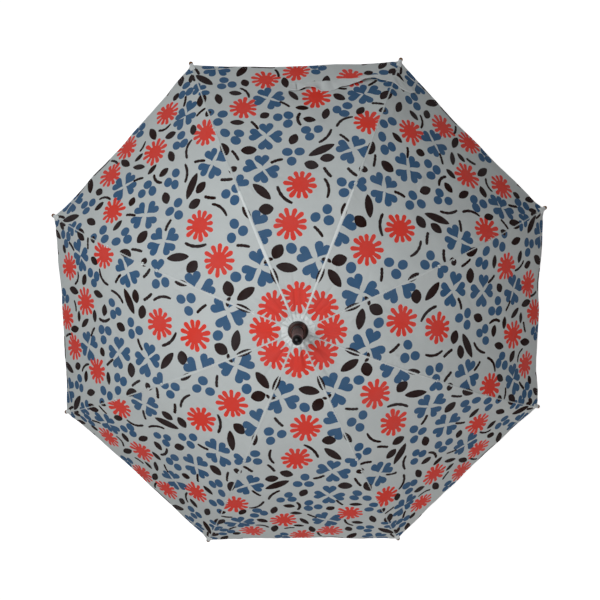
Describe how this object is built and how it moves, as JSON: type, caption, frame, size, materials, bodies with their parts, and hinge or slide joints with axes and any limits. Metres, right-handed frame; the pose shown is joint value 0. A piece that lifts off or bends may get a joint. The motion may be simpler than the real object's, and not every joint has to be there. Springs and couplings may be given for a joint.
{
  "type": "umbrella",
  "caption": "Stick umbrella with a printed cloth dome on a folding steel rib frame, a turned wooden spike and a wooden crook handle.",
  "frame": {"origin": "middle of the straight grip, on the shaft axis", "axes": "+Z along the shaft towards the spike, +X towards the open side of the crook, the panel seams on the ribs at 22.5 degrees from +X and every 45 degrees"},
  "size_m": [0.9318, 0.9318, 0.829],
  "materials": {
    "dark_wood": "satin varnish",
    "black_plastic": "gloss",
    "black_felt": "matte",
    "steel": "plated",
    "amber_plastic": "gloss",
    "canopy_cloth": "woven, printed"
  },
  "bodies": {
    "root": {"shaft": "dark_wood", "spike": "dark_wood", "spike_cap": "black_plastic", "top_washer": "black_felt", "notch": "steel", "notch_wire": "steel", "notch_pin": "steel", "stop_pin": "steel", "top_catch_pin": "steel", "hand_catch_pin": "steel", "collar": "steel", "handle": "dark_wood"},
    "runner": {"runner": "steel", "runner_wire": "steel"},
    "top_catch": {"top_catch": "steel"},
    "hand_catch": {"hand_catch": "steel"},
    "rib_1": {"rib_1": "steel", "rib_joint_1": "steel", "rib_tip_1": "amber_plastic", "canopy_1": "canopy_cloth"},
    "stretcher_1": {"stretcher_1": "steel"},
    "rib_2": {"rib_2": "steel", "rib_joint_2": "steel", "rib_tip_2": "amber_plastic", "canopy_2": "canopy_cloth", "strap": "canopy_cloth"},
    "stretcher_2": {"stretcher_2": "steel"},
    "rib_3": {"rib_3": "steel", "rib_joint_3": "steel", "rib_tip_3": "amber_plastic", "canopy_3": "canopy_cloth"},
    "stretcher_3": {"stretcher_3": "steel"},
    "rib_4": {"rib_4": "steel", "rib_joint_4": "steel", "rib_tip_4": "amber_plastic", "canopy_4": "canopy_cloth"},
    "stretcher_4": {"stretcher_4": "steel"},
    "rib_5": {"rib_5": "steel", "rib_joint_5": "steel", "rib_tip_5": "amber_plastic", "canopy_5": "canopy_cloth"},
    "stretcher_5": {"stretcher_5": "steel"},
    "rib_6": {"rib_6": "steel", "rib_joint_6": "steel", "rib_tip_6": "amber_plastic", "canopy_6": "canopy_cloth"},
    "stretcher_6": {"stretcher_6": "steel"},
    "rib_7": {"rib_7": "steel", "rib_joint_7": "steel", "rib_tip_7": "amber_plastic", "canopy_7": "canopy_cloth"},
    "stretcher_7": {"stretcher_7": "steel"},
    "rib_8": {"rib_8": "steel", "rib_joint_8": "steel", "rib_tip_8": "amber_plastic", "canopy_8": "canopy_cloth"},
    "stretcher_8": {"stretcher_8": "steel"}
  },
  "joints": [
    {"name": "rib_fold_1", "type": "hinge", "parent": "root", "child": "rib_1", "pos_m": [0.01109, 0.00459, 0.63271], "axis": [-0.3827, 0.9239, 0], "range_deg": [0, 66.77], "deforming": ["canopy_1"]},
    {"name": "stretcher_pivot_1", "type": "hinge", "parent": "rib_1", "child": "stretcher_1", "pos_m": [0.24178, 0.10015, 0.58099], "axis": [-0.3827, 0.9239, 0], "range_deg": [-133.54, 0]},
    {"name": "runner_hinge", "type": "hinge", "parent": "stretcher_1", "child": "runner", "pos_m": [0.01109, 0.00459, 0.52928], "axis": [-0.3827, 0.9239, 0], "range_deg": [0, 66.77]},
    {"name": "rib_fold_2", "type": "hinge", "parent": "root", "child": "rib_2", "pos_m": [0.00459, 0.01109, 0.63271], "axis": [-0.9239, 0.3827, 0], "range_deg": [0, 66.77], "deforming": ["canopy_2", "strap"]},
    {"name": "stretcher_pivot_2", "type": "hinge", "parent": "rib_2", "child": "stretcher_2", "pos_m": [0.10015, 0.24178, 0.58099], "axis": [-0.9239, 0.3827, 0], "range_deg": [-133.54, 0]},
    {"name": "rib_fold_3", "type": "hinge", "parent": "root", "child": "rib_3", "pos_m": [-0.00459, 0.01109, 0.63271], "axis": [-0.9239, -0.3827, 0], "range_deg": [0, 66.77], "deforming": ["canopy_3"]},
    {"name": "stretcher_pivot_3", "type": "hinge", "parent": "rib_3", "child": "stretcher_3", "pos_m": [-0.10015, 0.24178, 0.58099], "axis": [-0.9239, -0.3827, 0], "range_deg": [-133.54, 0]},
    {"name": "rib_fold_4", "type": "hinge", "parent": "root", "child": "rib_4", "pos_m": [-0.01109, 0.00459, 0.63271], "axis": [-0.3827, -0.9239, 0], "range_deg": [0, 66.77], "deforming": ["canopy_4"]},
    {"name": "stretcher_pivot_4", "type": "hinge", "parent": "rib_4", "child": "stretcher_4", "pos_m": [-0.24178, 0.10015, 0.58099], "axis": [-0.3827, -0.9239, 0], "range_deg": [-133.54, 0]},
    {"name": "rib_fold_5", "type": "hinge", "parent": "root", "child": "rib_5", "pos_m": [-0.01109, -0.00459, 0.63271], "axis": [0.3827, -0.9239, 0], "range_deg": [0, 66.77], "deforming": ["canopy_5"]},
    {"name": "stretcher_pivot_5", "type": "hinge", "parent": "rib_5", "child": "stretcher_5", "pos_m": [-0.24178, -0.10015, 0.58099], "axis": [0.3827, -0.9239, 0], "range_deg": [-133.54, 0]},
    {"name": "rib_fold_6", "type": "hinge", "parent": "root", "child": "rib_6", "pos_m": [-0.00459, -0.01109, 0.63271], "axis": [0.9239, -0.3827, 0], "range_deg": [0, 66.77], "deforming": ["canopy_6"]},
    {"name": "stretcher_pivot_6", "type": "hinge", "parent": "rib_6", "child": "stretcher_6", "pos_m": [-0.10015, -0.24178, 0.58099], "axis": [0.9239, -0.3827, 0], "range_deg": [-133.54, 0]},
    {"name": "rib_fold_7", "type": "hinge", "parent": "root", "child": "rib_7", "pos_m": [0.00459, -0.01109, 0.63271], "axis": [0.9239, 0.3827, 0], "range_deg": [0, 66.77], "deforming": ["canopy_7"]},
    {"name": "stretcher_pivot_7", "type": "hinge", "parent": "rib_7", "child": "stretcher_7", "pos_m": [0.10015, -0.24178, 0.58099], "axis": [0.9239, 0.3827, 0], "range_deg": [-133.54, 0]},
    {"name": "rib_fold_8", "type": "hinge", "parent": "root", "child": "rib_8", "pos_m": [0.01109, -0.00459, 0.63271], "axis": [0.3827, 0.9239, 0], "range_deg": [0, 66.77], "deforming": ["canopy_8"]},
    {"name": "stretcher_pivot_8", "type": "hinge", "parent": "rib_8", "child": "stretcher_8", "pos_m": [0.24178, -0.10015, 0.58099], "axis": [0.3827, 0.9239, 0], "range_deg": [-133.54, 0]},
    {"name": "top_catch_press", "type": "hinge", "parent": "root", "child": "top_catch", "pos_m": [0.0025, 0, 0.44888], "axis": [0, 1, 0], "range_deg": [-8, 0], "stiffness_Nm_per_rad": 0.5, "springref_deg": 1.15},
    {"name": "hand_catch_press", "type": "hinge", "parent": "root", "child": "hand_catch", "pos_m": [0.0025, 0, 0.093], "axis": [0, 1, 0], "range_deg": [-8, 0], "stiffness_Nm_per_rad": 0.5, "springref_deg": 1.15}
  ],
  "couplings": [
    {"joint": "stretcher_pivot_1", "follows": "rib_fold_1", "ratio": -2},
    {"joint": "runner_hinge", "follows": "rib_fold_1", "ratio": 1},
    {"joint": "rib_fold_2", "follows": "rib_fold_1", "ratio": 1},
    {"joint": "stretcher_pivot_2", "follows": "rib_fold_1", "ratio": -2},
    {"joint": "rib_fold_3", "follows": "rib_fold_1", "ratio": 1},
    {"joint": "stretcher_pivot_3", "follows": "rib_fold_1", "ratio": -2},
    {"joint": "rib_fold_4", "follows": "rib_fold_1", "ratio": 1},
    {"joint": "stretcher_pivot_4", "follows": "rib_fold_1", "ratio": -2},
    {"joint": "rib_fold_5", "follows": "rib_fold_1", "ratio": 1},
    {"joint": "stretcher_pivot_5", "follows": "rib_fold_1", "ratio": -2},
    {"joint": "rib_fold_6", "follows": "rib_fold_1", "ratio": 1},
    {"joint": "stretcher_pivot_6", "follows": "rib_fold_1", "ratio": -2},
    {"joint": "rib_fold_7", "follows": "rib_fold_1", "ratio": 1},
    {"joint": "stretcher_pivot_7", "follows": "rib_fold_1", "ratio": -2},
    {"joint": "rib_fold_8", "follows": "rib_fold_1", "ratio": 1},
    {"joint": "stretcher_pivot_8", "follows": "rib_fold_1", "ratio": -2}
  ]
}
